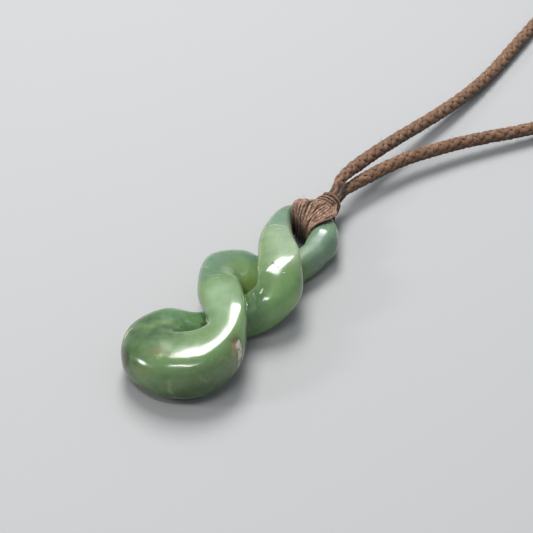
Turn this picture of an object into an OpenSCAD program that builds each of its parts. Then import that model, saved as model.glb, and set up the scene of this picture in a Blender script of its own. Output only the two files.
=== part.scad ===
// A carved stone twist, lashed to a plaited neck cord, lying on a flat surface.
// The stone lies along +Y with its fat lower bulb towards -Y, and the cord loop lies beyond its upper loop.

/* [Stone] */
// Thickness of the stone where its strand crosses itself
stone_thickness = 10.7; // [9.5:0.1:11.5]
// Rings of the swept strand between two stations of the table
rings_per_station = 6; // [3:1:6]
// Sides of each ring of the strand
strand_sides = 36; // [20:4:36]

/* [Cord] */
// Diameter of the plaited cord
cord_d = 2.5; // [2.0:0.1:2.6]
// Share of its thickness that each cord keeps where the lashing grips it
cord_grip_share = 0.75; // [0.65:0.05:0.8]
// Distance between two rings of the swept cord
cord_ring_step = 6.0; // [5:0.5:7.5]

/* [Lashing] */
// Height of the lashing, from under the bar of the upper loop to the top of its neck
lashing_height = 6.76; // [6.6:0.02:6.9]
// Gap between the stone and the thread wound round it
lashing_gap = 0.12; // [0.05:0.01:0.2]

/* [Back knot] */
// Diameter of the knot at its middle
knot_d = 5.2; // [4.6:0.2:6]
// Gap between the knot and the end of each cord
cord_end_gap = 0.5; // [0.4:0.05:0.7]

/* [Hidden] */

// Middle of the whole thing's footprint, which becomes the origin.
footprint_mid = [38.8, 98.48];

// The strand of the twist, one row for each station along it, in millimetres. Walking from the bar of the
// upper loop down its left arm, over the first crossing, under the second, round the bulb and back, left and
// right are the strand's two edges, z is the height of its middle and high its thickness. crown is where its
// top lies between the two edges, and a larger edge power gives squarer shoulders.
LEFT = 0;
RIGHT = 2;
MID_Z = 4;
HIGH = 5;
CROWN = 6;
EDGE = 7;
strand = [
    // left x, y, right x, y, z, high, crown, edge
    [1.2, 20.4, 0.4, 23.8, 3.3, 4.2, 0.50, 2.4], // bar of the upper loop
    [-1.8, 18.6, -4.4, 19.2, 4.0, 5.2, 0.50, 2.6], // shoulder
    [1.4, 12.8, -3.6, 10.4, 5.6, 5.8, 0.42, 2.8], // left arm
    [6.6, 6.0, 0.4, 2.4, 7.6, 5.6, 0.12, 2.6], // over the upper crossing
    [9.8, 0.6, 2.4, -1.2, 6.3, 7.4, 0.72, 2.6], // right lobe
    [8.2, -5.2, 2.5, -2.9, 4.5, 7.8, 0.62, 2.4],
    [4.4, -9.8, -0.4, -5.8, 2.8, 5.6, 0.50, 2.6], // under the lower crossing
    [0.8, -15.2, -3.4, -10.4, 3.0, 6.0, 0.50, 2.6],
    [-1.3, -17.0, -8.2, -13.6, 3.8, 7.4, 0.44, 2.5], // into the bulb
    [-1.5, -17.7, -10.6, -20.2, 4.0, 8.0, 0.38, 2.5],
    [-1.1, -17.9, -7.0, -26.8, 4.4, 8.6, 0.42, 2.5], // bottom of the bulb
    [-0.4, -16.9, 0.4, -28.4, 4.6, 9.0, 0.45, 2.6],
    [0.4, -16.4, 6.8, -24.6, 5.0, 9.0, 0.52, 2.8],
    [1.1, -15.2, 9.0, -17.6, 6.0, 8.2, 0.58, 2.6],
    [0.0, -13.4, 6.2, -10.6, 7.8, 6.2, 0.84, 2.3], // over the lower crossing
    [-4.8, -8.2, 1.5, -4.4, 7.0, 5.8, 0.68, 2.8],
    [-8.4, 0.5, 0.6, -2.8, 5.0, 6.0, 0.44, 2.8], // left lobe
    [-5.1, 6.5, 1.4, -2.5, 3.7, 5.8, 0.38, 2.3],
    [0.0, 8.0, 4.0, 0.6, 2.5, 5.0, 0.45, 2.4], // under the upper crossing
    [3.0, 12.0, 7.0, 10.4, 3.1, 5.6, 0.46, 2.5],
    [2.9, 14.2, 7.6, 13.8, 3.3, 5.4, 0.48, 2.5],
    [2.6, 16.4, 7.8, 17.2, 3.8, 5.6, 0.50, 2.5], // right arm
    [2.0, 19.6, 4.8, 21.6, 3.3, 4.2, 0.50, 2.5],
];
// The two halves of the strand never cross themselves: each runs from the bar to the bottom of the bulb.
bulb_station = 11;
// How far, in stations, the end of each half reaches into the other, and how much slimmer it is there.
root_reach = 0.15;
root_inset = 0.4;
// Stone left standing between strands: one web low in the gap between the crossings, one that closes the eye
// of the bulb and one that shortens the fold beside it.
gap_web = [0.4, -2.0, 2.0];
gap_web_size = [5.0, 5.0, 3.6];
gap_web_turn = 0;
eye_web = [-1.4, -15.2, 3.2];
eye_web_size = [8.0, 6.4, 5.4];
eye_web_turn = 10;
fold_web = [-3.6, -17.3, 4.6];
fold_web_size = [5.6, 4.4, 5.8];
fold_web_turn = 35;

// The lashing, one row for each cut across it, from inside the upper loop to the neck where the cords start.
lashing_rows = [
    // y, x, z, wide, high
    [16.4, 1.6, 3.2, 2.4, 3.0],
    [17.4, 1.5, 3.4, 4.6, 5.6],
    [19.2, 1.1, 3.6, 7.6, 6.6],
    [21.4, 0.9, 3.6, 8.4, 6.6],
    [23.8, 0.9, 3.5, 6.6, 5.2],
    [25.8, 1.1, 3.9, 3.6, 3.6],
    [27.8, 1.3, 4.3, 2.4, 3.2],
    [30.0, 1.4, 4.9, 2.6, 4.0],
];
lashing_sides = 32;
lashing_edge = 3.0;

// Routes of the two halves of the neck cord, from the neck of the lashing to the back knot.
cord_left_route = [
    [0.9, 30.6, 6.1], [0.9, 34, 5.9], [1.3, 38, 5.5], [2, 43, 5.0], [3.1, 50, 4.2], [4.5, 58, 3.2],
    [6, 67, 2.3], [7, 76, 1.6], [7.4, 84, 1.3], [7.5, 92, 1.3], [7.6, 102, 1.3], [8.2, 122, 1.3],
    [10, 144, 1.3], [15, 166, 1.3], [22, 186, 1.3], [30, 204, 1.3], [38, 215.6, 1.4], [47, 221.8, 1.8],
    [57, 223.4, 2.6],
];
cord_right_route = [
    [1.8, 30.6, 4.1], [2.5, 33.6, 3.9], [3.5, 37, 3.8], [5, 41, 3.8], [7, 45.6, 3.6], [9.6, 50, 3.4],
    [12.6, 54.6, 3.2], [16, 59.2, 2.9], [19.4, 63.4, 2.6], [23, 68, 2.3], [31, 78, 1.6], [41, 90, 1.3],
    [53, 106, 1.3], [65, 125, 1.3], [76, 147, 1.3], [84, 170, 1.3], [87, 190, 1.3], [84, 206, 1.4],
    [77, 216.8, 1.8], [67.6, 221.6, 2.6],
];
cord_sides = 8;
// From the middle to the corners of a ring, so that the tube is about as thick as the round cord.
cord_reach = cord_d / 2 / cos(180 / cord_sides) * 0.97;

STONE = [0.42, 0.60, 0.40];
THREAD = [0.45, 0.29, 0.20];
PLAIT = [0.50, 0.33, 0.23];
KNOT = [0.40, 0.26, 0.18];

// A point of a smooth curve through b and c, whose neighbours are a and d.
function between(a, b, c, d, t) =
    0.5 * (2 * b + (c - a) * t + (2 * a - 5 * b + 4 * c - d) * t * t + (3 * b - a - 3 * c + d) * t * t * t);

// The row of a closed table at a place between its stations.
function closed_row(table, s) =
    let (n = len(table), i = floor(s), t = s - i)
    between(table[(i - 1 + n) % n], table[(i + n) % n], table[(i + 1 + n) % n], table[(i + 2 + n) % n], t);

// The row of an open table, whose end rows count twice.
function open_row(table, s) =
    let (last = len(table) - 1, i = min(floor(s), last - 1), t = s - i)
    between(table[max(i - 1, 0)], table[i], table[i + 1], table[min(i + 2, last)], t);

function bulge(v, edge) = sign(v) * pow(abs(v), 2 / edge);

// One ring of the strand, which stands upright on the line between its two edges. grow makes it fatter.
function strand_ring(s, grow) =
    let (
        row = closed_row(strand, s),
        left = [row[LEFT], row[LEFT + 1], row[MID_Z]],
        right = [row[RIGHT], row[RIGHT + 1], row[MID_Z]],
        across = (right - left) / norm(right - left),
        top = left + (right - left) * row[CROWN],
        left_reach = norm(top - left) + grow,
        right_reach = norm(right - top) + grow,
        half_high = row[HIGH] / 2 + grow
    )
    [for (k = [0:strand_sides - 1])
        let (
            angle = 360 * k / strand_sides,
            side = bulge(cos(angle), row[EDGE]),
            rise = bulge(sin(angle), row[EDGE])
        )
        top - across * side * (side > 0 ? left_reach : right_reach) + [0, 0, rise * half_high]];

// A closed skin over rings that all have the same number of points.
module skin(rings) {
    sides = len(rings[0]);
    last = len(rings) - 1;
    points = [for (ring = rings) for (point = ring) point];
    start_cap = [for (k = [0:sides - 1]) k];
    end_cap = [for (k = [0:sides - 1]) last * sides + sides - 1 - k];
    walls = [for (i = [0:last - 1]) for (k = [0:sides - 1])
        let (
            a = i * sides + k,
            b = i * sides + (k + 1) % sides,
            c = a + sides,
            d = b + sides
        )
        each [[a, d, b], [a, c, d]]];
    polyhedron(points, concat([start_cap], walls, [end_cap]), convexity = 8);
}

// One stretch of the strand. Each end goes on a little way, slimmer, so that it is rooted in the next stretch.
module strand_stretch(from_station, to_station, grow = 0) {
    steps = round((to_station - from_station) * rings_per_station);
    skin([
        strand_ring(from_station - root_reach, grow - root_inset),
        for (i = [0:steps]) strand_ring(from_station + i / rings_per_station, grow),
        strand_ring(to_station + root_reach, grow - root_inset),
    ]);
}

module in_place() {
    translate([-footprint_mid[0], -footprint_mid[1], 0]) children();
}

// The lowest point of the strand as the table gives it, which comes to rest on the surface.
function strand_floor() =
    min([for (i = [0:len(strand) * rings_per_station - 1])
        for (point = strand_ring(i / rings_per_station, 0)) point[2]]);

// Stone that the carver left standing between two strands.
module web(place, size, turn) {
    translate(place)
        rotate(turn)
            scale(size / 2)
                sphere(r = 1, $fn = 24);
}

// The whole strand, set on the surface and brought to its thickness.
module stone(grow = 0) {
    translate([0, 0, -grow])
        resize([0, 0, stone_thickness + 2 * grow])
            translate([0, 0, grow - strand_floor()]) {
                strand_stretch(0, bulb_station, grow);
                strand_stretch(bulb_station, len(strand), grow);
                web(gap_web, gap_web_size, gap_web_turn);
                web(eye_web, eye_web_size, eye_web_turn);
                web(fold_web, fold_web_size, fold_web_turn);
            }
}

module jade_twist() {
    color(STONE) in_place() stone();
}

// One cut across the lashing, an oval with soft shoulders.
function lashing_ring(row) =
    [for (k = [0:lashing_sides - 1])
        let (angle = 360 * k / lashing_sides)
        [
            row[1] - bulge(cos(angle), lashing_edge) * row[3] / 2,
            row[0],
            row[2] + bulge(sin(angle), lashing_edge) * row[4] / 2
        ]];

module lashing() {
    steps_per_row = 2;
    steps = (len(lashing_rows) - 1) * steps_per_row;
    color(THREAD) in_place() resize([0, 0, lashing_height]) difference() {
        skin([for (i = [0:steps]) lashing_ring(open_row(lashing_rows, i / steps_per_row))]);
        stone(lashing_gap);
    }
}

// Points along a route, about one ring step apart, each with its direction.
function route_samples(route) =
    [for (i = [0:len(route) - 2])
        let (steps = max(1, round(norm(route[i + 1] - route[i]) / cord_ring_step)))
        for (k = [0:steps - 1]) open_row(route, i + k / steps)];

function cord_points(route) = concat(route_samples(route), [route[len(route) - 1]]);

// How much of its thickness the cord has at one of its rings: it is full from the third on.
function cord_fullness(i) = min(1, cord_grip_share + (1 - cord_grip_share) * i / 2);

function cord_ring(points, i) =
    let (
        last = len(points) - 1,
        ahead = points[min(i + 1, last)] - points[max(i - 1, 0)],
        forward = ahead / norm(ahead),
        flat = cross([0, 0, 1], forward),
        side = flat / norm(flat),
        up = cross(forward, side)
    )
    [for (k = [0:cord_sides - 1])
        let (angle = 360 * (k + 0.5) / cord_sides, reach = cord_reach * cord_fullness(i))
        points[i] + side * cos(angle) * reach + up * sin(angle) * reach];

module cord(route) {
    points = cord_points(route);
    skin([for (i = [0:len(points) - 1]) cord_ring(points, i)]);
}

module cord_left() {
    color(PLAIT) in_place() cord(cord_left_route);
}

module cord_right() {
    color(PLAIT) in_place() cord(cord_right_route);
}

// A plain barrel between the two cord ends.
module back_knot() {
    left_end = cord_left_route[len(cord_left_route) - 1];
    right_end = cord_right_route[len(cord_right_route) - 1];
    middle = (left_end + right_end) / 2;
    heading = atan2(right_end[1] - left_end[1], right_end[0] - left_end[0]);
    length = norm(right_end - left_end) - 2 * cord_end_gap;
    end_d = knot_d * 0.72;
    color(KNOT) in_place() translate(middle) rotate([0, 90, heading])
        rotate_extrude($fn = 32)
            polygon([
                [0, -length / 2], [end_d / 2, -length / 2], [knot_d / 2, -length / 4],
                [knot_d / 2, length / 4], [end_d / 2, length / 2], [0, length / 2],
            ]);
}

jade_twist();
lashing();
cord_left();
cord_right();
back_knot();
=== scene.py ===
"""Looks of a carved greenstone twist, lashed to a plaited neck cord that lies in a loop."""

import math

import bpy
import numpy as np
from mathutils import Matrix, Quaternion, Vector


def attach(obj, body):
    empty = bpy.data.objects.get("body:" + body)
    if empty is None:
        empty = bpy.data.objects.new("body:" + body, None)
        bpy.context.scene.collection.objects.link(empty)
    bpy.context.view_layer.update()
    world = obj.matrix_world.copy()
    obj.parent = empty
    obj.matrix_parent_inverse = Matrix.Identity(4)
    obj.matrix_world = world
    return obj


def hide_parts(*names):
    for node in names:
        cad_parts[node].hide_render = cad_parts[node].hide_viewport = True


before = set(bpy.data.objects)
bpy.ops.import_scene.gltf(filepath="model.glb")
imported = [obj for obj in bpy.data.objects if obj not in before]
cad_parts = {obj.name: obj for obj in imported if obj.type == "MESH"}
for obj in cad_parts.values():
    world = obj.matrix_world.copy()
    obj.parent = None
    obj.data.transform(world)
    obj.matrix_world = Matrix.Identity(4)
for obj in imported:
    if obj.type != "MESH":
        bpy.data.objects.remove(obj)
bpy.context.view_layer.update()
scene = bpy.context.scene

# What follows is in millimetres from the pendant's own origin, near the middle of the stone, with
# +Y towards the lashing. These two bring it to the model's frame in metres.
MM = 0.001
FOOTPRINT_MID = np.array([38.8, 98.48, 0.0])
FULL_TURN = 2 * math.pi
ORIGIN = (0.0, 0.0, 0.0)
UPWARD = (0.0, 0.0, 1.0)
TINY = 1e-6


def in_frame(places):
    """Places in the pendant's millimetres, as places in the model's frame."""
    return (np.asarray(places, float) - FOOTPRINT_MID) * MM


def direction(azimuth_degrees, elevation_degrees):
    """A unit direction, so many degrees clockwise of +Y seen from above, and so many upward."""
    azimuth, elevation = math.radians(azimuth_degrees), math.radians(elevation_degrees)
    level = math.cos(elevation)
    return np.array([math.sin(azimuth) * level, math.cos(azimuth) * level, math.sin(elevation)])


def put_in_scene(name, data):
    placed = bpy.data.objects.new(name, data)
    scene.collection.objects.link(placed)
    return placed


# Camera
VIEW_AZIMUTH = 31.0
VIEW_ELEVATION = 41.0
VIEW_DISTANCE = 280.0
VIEW_TARGET = np.array([0.0, 0.0, 4.0])
FRAME_PIXELS = 533.0
FOCAL_PIXELS = 1680.0
SENSOR_WIDTH = 36.0
SEEN_FROM, SEEN_TO = 0.01, 20.0
# The target stands left of and below the middle of the picture, by so many pixels.
TARGET_OFF_MIDDLE = (18.5, 18.5)


def set_up_camera():
    look = Vector(direction(-VIEW_AZIMUTH, -VIEW_ELEVATION))
    right = Vector(direction(90.0 - VIEW_AZIMUTH, 0.0))
    up = right.cross(look)
    to_middle = look * FOCAL_PIXELS + right * TARGET_OFF_MIDDLE[0] + up * TARGET_OFF_MIDDLE[1]
    forward = to_middle.normalized()
    side = forward.cross(Vector(UPWARD)).normalized()
    turned = Matrix((side, side.cross(forward), -forward)).transposed().to_4x4()
    turned.translation = Vector(in_frame(Vector(VIEW_TARGET) - look * VIEW_DISTANCE))
    data = bpy.data.cameras.new("camera")
    data.sensor_width = SENSOR_WIDTH
    data.lens = FOCAL_PIXELS / FRAME_PIXELS * SENSOR_WIDTH
    data.clip_start, data.clip_end = SEEN_FROM, SEEN_TO
    camera = put_in_scene("camera", data)
    camera.matrix_world = turned
    scene.camera = camera


set_up_camera()

# Shape of the stone
# One row for each station along the closed strand, from the bar of the upper loop down its left
# arm, over the first crossing, under the second, round the bulb and back: x and y of its left and
# right edge, height of its middle, thickness, where its top lies between the edges, and how square
# its shoulders are.
STRAND = [
    (1.2, 20.4, 0.4, 23.8, 3.3, 4.2, 0.50, 2.4),  # bar of the upper loop
    (-1.8, 18.6, -4.4, 19.2, 4.0, 5.2, 0.50, 2.6),  # shoulder
    (1.4, 12.8, -3.6, 10.4, 5.6, 5.8, 0.42, 2.8),  # left arm
    (6.6, 6.0, 0.4, 2.4, 7.6, 5.6, 0.12, 2.6),  # over the upper crossing
    (9.8, 0.6, 2.4, -1.2, 6.3, 7.4, 0.72, 2.6),  # right lobe
    (8.2, -5.2, 2.5, -2.9, 4.5, 7.8, 0.62, 2.4),
    (4.4, -9.8, -0.4, -5.8, 2.8, 5.6, 0.50, 2.6),  # under the lower crossing
    (0.8, -15.2, -3.4, -10.4, 3.0, 6.0, 0.50, 2.6),
    (-1.3, -17.0, -8.2, -13.6, 3.8, 7.4, 0.44, 2.5),  # into the bulb
    (-1.5, -17.7, -10.6, -20.2, 4.0, 8.0, 0.38, 2.5),
    (-1.1, -17.9, -7.0, -26.8, 4.4, 8.6, 0.42, 2.5),
    (-0.4, -16.9, 0.4, -28.4, 4.6, 9.0, 0.45, 2.6),  # foot of the bulb
    (0.4, -16.4, 6.8, -24.6, 5.0, 9.0, 0.52, 2.8),
    (1.1, -15.2, 9.0, -17.6, 6.0, 8.2, 0.58, 2.6),
    (0.0, -13.4, 6.2, -10.6, 7.8, 6.2, 0.84, 2.3),  # over the lower crossing
    (-4.8, -8.2, 1.5, -4.4, 7.0, 5.8, 0.68, 2.8),
    (-8.4, 0.5, 0.6, -2.8, 5.0, 6.0, 0.44, 2.8),  # left lobe
    (-5.1, 6.5, 1.4, -2.5, 3.7, 5.8, 0.38, 2.3),
    (0.0, 8.0, 4.0, 0.6, 2.5, 5.0, 0.45, 2.4),  # under the upper crossing
    (3.0, 12.0, 7.0, 10.4, 3.1, 5.6, 0.46, 2.5),
    (2.9, 14.2, 7.6, 13.8, 3.3, 5.4, 0.48, 2.5),
    (2.6, 16.4, 7.8, 17.2, 3.8, 5.6, 0.50, 2.5),  # right arm
    (2.0, 19.6, 4.8, 21.6, 3.3, 4.2, 0.50, 2.5),
]
# The strand is made of two halves. Each reaches a little into the other, and is slimmer there.
FOOT_STATION = 11
ROOT_REACH = 0.15
ROOT_INSET = 0.4
STONE_THICKNESS = 10.7
STRAND_STEPS, STRAND_SIDES = 24, 96
# The source's coarser steps and sides. Their lowest point is what the stone lies on.
SOURCE_STEPS, SOURCE_SIDES = 6, 36
# Stone left standing between strands, lower than both: place, size and turn in degrees.
WEBS = [
    ((0.4, -2.0, 2.0), (5.0, 5.0, 3.6), 0.0),  # gap between the crossings
    ((-1.4, -15.2, 3.2), (8.0, 6.4, 5.4), 10.0),  # eye of the bulb
    ((-3.6, -17.3, 4.6), (5.6, 4.4, 5.8), 35.0),  # fold of the bulb
]
WEB_SIDES, WEB_RINGS = 32, 17
WEB_POLE = 0.06
# The halves and webs are joined into one skin, which is then smoothed.
STONE_VOXEL = 0.2
POLISH_ROUNDS = 4
POLISH_SHARE = 0.55
POLISH_BACK = 1.03


def curve_through(rows, place, closed=False):
    """Smooth curves through the rows of a table, at places counted in rows."""
    rows = np.asarray(rows, float)
    before = np.floor(place).astype(int)
    if not closed:
        before = np.clip(before, 0, len(rows) - 2)
    part = (place - before)[:, None]
    past_end = "wrap" if closed else "clip"
    a, b, c, d = (np.take(rows, before + k, axis=0, mode=past_end) for k in (-1, 0, 1, 2))
    return 0.5 * (2 * b + (c - a) * part + (2 * a - 5 * b + 4 * c - d) * part**2
                  + (3 * b - a - 3 * c + d) * part**3)


def unit(vectors):
    """The same directions, each one long."""
    return vectors / np.maximum(np.linalg.norm(vectors, axis=-1, keepdims=True), TINY)


def angles_round(sides):
    return np.linspace(0, FULL_TURN, sides, endpoint=False)


def bulged(value, power):
    return np.sign(value) * np.abs(value) ** (2.0 / power)


def strand_rings(stations, sides, grow):
    """Rings of the stone's strand, each standing upright on the line between its two edges."""
    columns = curve_through(STRAND, stations, True).T[..., None]
    left_x, left_y, right_x, right_y, z, high, crown, edge = columns
    left, right = np.hstack([left_x, left_y, z]), np.hstack([right_x, right_y, z])
    across = unit(right - left)
    top = left + (right - left) * crown
    grow = grow[:, None]
    left_reach = np.linalg.norm(top - left, axis=1, keepdims=True) + grow
    right_reach = np.linalg.norm(right - top, axis=1, keepdims=True) + grow
    angle = angles_round(sides)
    side = bulged(np.cos(angle), edge)
    rise = bulged(np.sin(angle), edge) * (high / 2 + grow)
    reach = np.where(side > 0, left_reach, right_reach)
    rings = top[:, None] - across[:, None] * (side * reach)[..., None]
    rings[..., 2] += rise
    return rings


def skin(rings, first_point=0):
    """Faces over rings that all have the same number of points, with both ends closed."""
    count, sides = rings.shape[:2]
    index = np.arange(count * sides).reshape(count, sides) + first_point
    a, b = index[:-1], np.roll(index[:-1], -1, axis=1)
    c, d = index[1:], np.roll(index[1:], -1, axis=1)
    walls = np.stack([a, c, d, b], axis=-1).reshape(-1, 4).tolist()
    return walls + [index[0].tolist(), index[-1][::-1].tolist()]


def web_rings(place, size, turn_degrees):
    """Rings of an upright egg of stone, from its foot to its top."""
    turn = math.radians(turn_degrees)
    heights = np.linspace(-math.pi / 2 + WEB_POLE, math.pi / 2 - WEB_POLE, WEB_RINGS)[:, None]
    angle = angles_round(WEB_SIDES)
    x = np.cos(heights) * np.cos(angle) * size[0] / 2
    y = np.cos(heights) * np.sin(angle) * size[1] / 2
    z = np.repeat(np.sin(heights), WEB_SIDES, axis=1) * size[2] / 2
    turned_x = x * math.cos(turn) - y * math.sin(turn)
    turned_y = x * math.sin(turn) + y * math.cos(turn)
    return np.stack([turned_x, turned_y, z], axis=-1) + place


def stone_stretches():
    """The two halves of the strand and the webs, brought to the stone's thickness."""
    count = len(STRAND)
    source = strand_rings(np.arange(0, count, 1 / SOURCE_STEPS), SOURCE_SIDES,
                          np.zeros(count * SOURCE_STEPS))
    floor = source[..., 2].min()
    stretches = []
    for first, last in ((0, FOOT_STATION), (FOOT_STATION, count)):
        inner = np.linspace(first, last, (last - first) * STRAND_STEPS + 1)
        stations = np.concatenate([[first - ROOT_REACH], inner, [last + ROOT_REACH]])
        grow = np.zeros(len(stations))
        grow[[0, -1]] = -ROOT_INSET
        stretches.append(strand_rings(stations, STRAND_SIDES, grow))
    stretches += [web_rings(*web) for web in WEBS]
    top = max(stretch[..., 2].max() for stretch in stretches)
    for stretch in stretches:
        stretch[..., 2] = (stretch[..., 2] - floor) * STONE_THICKNESS / (top - floor)
    return stretches


def polished(points, edges):
    """Moves each point towards the middle of its neighbours, and back so that nothing shrinks."""
    count = len(points)
    ends = edges.T
    number = sum(np.bincount(end, minlength=count) for end in ends)[:, None]
    for amount in (POLISH_SHARE, -POLISH_SHARE * POLISH_BACK) * POLISH_ROUNDS:
        total = np.zeros_like(points)
        for here, there in (ends, ends[::-1]):
            for axis in range(3):
                total[:, axis] += np.bincount(here, points[there, axis], count)
        points = points + (total / number - points) * amount
    return points


def shade_smooth(mesh):
    mesh.polygons.foreach_set("use_smooth", np.ones(len(mesh.polygons), bool))
    mesh.update()


def make_stone():
    points, faces = [], []
    for rings in stone_stretches():
        faces += skin(rings, sum(len(p) for p in points))
        points.append(rings.reshape(-1, 3))
    rough_mesh = bpy.data.meshes.new("twist_rough")
    rough_mesh.from_pydata(np.concatenate(points).tolist(), [], faces)
    rough = put_in_scene("twist_rough", rough_mesh)
    remesh = rough.modifiers.new("one_skin", "REMESH")
    remesh.mode = "VOXEL"
    remesh.voxel_size = STONE_VOXEL
    evaluated = rough.evaluated_get(bpy.context.evaluated_depsgraph_get())
    mesh = bpy.data.meshes.new_from_object(evaluated)
    bpy.data.objects.remove(rough)
    places = np.zeros(len(mesh.vertices) * 3)
    mesh.vertices.foreach_get("co", places)
    edges = np.zeros(len(mesh.edges) * 2, int)
    mesh.edges.foreach_get("vertices", edges)
    places = polished(places.reshape(-1, 3), edges.reshape(-1, 2))
    mesh.vertices.foreach_set("co", in_frame(places).ravel())
    mesh.name = "carved_twist"
    shade_smooth(mesh)
    return put_in_scene("carved_twist", mesh)


# Threads
# How a thread is laid up: its plies, the depth of their grooves, and the length in which they
# turn by one.
TWO_PLY = (2, 0.14, 1.3)
THREE_PLY = (3, 0.10, 2.4)
# Threads sway, swell and slacken anew after each such length.
UNEVEN_EVERY = 3.0
# A path whose start is this near upright takes its first frame from +X.
NEAR_UPRIGHT = 0.1
# Fine fibres that stand off the threads.
FUZZ_PER_MILLIMETRE = 2.5
FUZZ_LENGTH = (0.5, 1.5)
FUZZ_RADIUS = 0.022
FUZZ_TIP = 0.4
FUZZ_POINTS, FUZZ_SIDES = 5, 3
FUZZ_ROOT = 0.05
FUZZ_LIFT = (0.25, 0.8)
FUZZ_STRAY = 0.3
FUZZ_CURL = 0.35
FUZZ_CREST = 0.8


def carried_frames(path):
    """Directions beside and over a path, carried along it without twisting."""
    ahead = unit(np.gradient(path, axis=0))
    beside = np.zeros_like(path)
    start = np.cross(UPWARD, ahead[0])
    if np.linalg.norm(start) < NEAR_UPRIGHT:
        start = np.cross([1.0, 0.0, 0.0], ahead[0])
    beside[0] = unit(start)
    for i in range(1, len(path)):
        beside[i] = unit(beside[i - 1] - ahead[i] * (beside[i - 1] @ ahead[i]))
    return beside, np.cross(ahead, beside)


def length_along(path):
    steps = np.linalg.norm(np.diff(path, axis=0), axis=1)
    return np.concatenate([[0.0], np.cumsum(steps)])


def even_steps(path, step):
    """The same path, with points an even step apart."""
    along = length_along(path)
    places = np.linspace(0, along[-1], int(round(along[-1] / step)) + 1)
    return np.stack([np.interp(places, along, path[:, k]) for k in range(3)], axis=1)


def smooth_path(rows, steps_each, step):
    """A smooth path through the rows of a table."""
    places = np.linspace(0, len(rows) - 1, (len(rows) - 1) * steps_each + 1)
    return even_steps(curve_through(rows, places), step)


def thread_rings(path, radius, sides, lay=None):
    """Rings along a thread. The plies that it is laid up from show as soft ridges."""
    beside, over = carried_frames(path)
    angle = angles_round(sides)
    reach = np.broadcast_to(radius, len(path))[:, None] * np.ones(sides)
    if lay:
        plies, depth, turn_each = lay
        leaned = length_along(path)[:, None] * FULL_TURN / turn_each / plies
        reach = reach * (1 + depth * np.cos(plies * (angle - leaned)))
    side = np.cos(angle)[:, None] * beside[:, None]
    rise = np.sin(angle)[:, None] * over[:, None]
    return path[:, None] + (side + rise) * reach[..., None]


def join_threads(name, bundles):
    """One piece from many threads, each given as its rings and how far out their points are, from
    0 in a crevice to 1 on a crest. Its map holds the share of the way round, and millimetres
    along."""
    points, faces, map_places = [], [], []
    first = 0
    for rings, _ in bundles:
        count, sides = rings.shape[:2]
        faces += skin(rings, first)
        first += count * sides
        points.append(rings.reshape(-1, 3))
        grid = np.meshgrid(np.arange(sides + 1) / sides, length_along(rings.mean(axis=1)))
        grid = np.stack(grid, axis=-1)
        corners = [grid[:-1, :-1], grid[1:, :-1], grid[1:, 1:], grid[:-1, 1:]]
        map_places += [np.stack(corners, axis=2).reshape(-1, 2), np.zeros((sides * 2, 2))]
    mesh = bpy.data.meshes.new(name)
    mesh.from_pydata(in_frame(np.concatenate(points)).tolist(), [], faces)
    layer = mesh.uv_layers.new(name="thread")
    layer.data.foreach_set("uv", np.concatenate(map_places).ravel())
    crest = mesh.attributes.new("crest", "FLOAT", "POINT")
    crest.data.foreach_set("value", np.concatenate([out.ravel() for _, out in bundles]))
    shade_smooth(mesh)
    return put_in_scene(name, mesh)


def crest_round(rings, middle):
    """How far out each point of a thread stands, for a thread that lies round a middle."""
    centre = rings.mean(axis=1, keepdims=True)
    return 0.5 + 0.5 * np.sum(unit(rings - centre) * unit(centre - middle), axis=2)


def even_crest(rings, out):
    """A thread whose points all stand equally far out."""
    return rings, np.full(rings.shape[:2], out)


def loose_fibres(bundles, number, middles, uneven):
    """Fine fibres that stand off the outside of threads, which lie round their middles."""
    fibres = []
    share = np.linspace(0, 1, FUZZ_POINTS)[:, None]
    for _ in range(int(number)):
        rings, _ = bundles[uneven.integers(len(bundles))]
        ring = uneven.integers(1, len(rings) - 2)
        side = uneven.integers(rings.shape[1])
        root = rings[ring, side]
        outward = unit(root - np.broadcast_to(middles, (len(rings), 1, 3))[ring, 0])
        if outward @ (root - rings[ring].mean(axis=0)) < 0:
            continue
        ahead = unit(rings[ring + 1, side] - root)
        lean = unit(ahead * uneven.uniform(-1, 1) + outward * uneven.uniform(*FUZZ_LIFT)
                    + uneven.normal(0, FUZZ_STRAY, 3))
        curl = uneven.normal(0, FUZZ_CURL, 3)
        length = uneven.uniform(*FUZZ_LENGTH)
        path = root - outward * FUZZ_ROOT + (lean * share + curl * share**2) * length
        path[:, 2] = np.maximum(path[:, 2], FUZZ_RADIUS)
        radius = FUZZ_RADIUS * (1 - (1 - FUZZ_TIP) * share[:, 0])
        fibres.append(even_crest(thread_rings(path, radius, FUZZ_SIDES), FUZZ_CREST))
    return fibres


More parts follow.
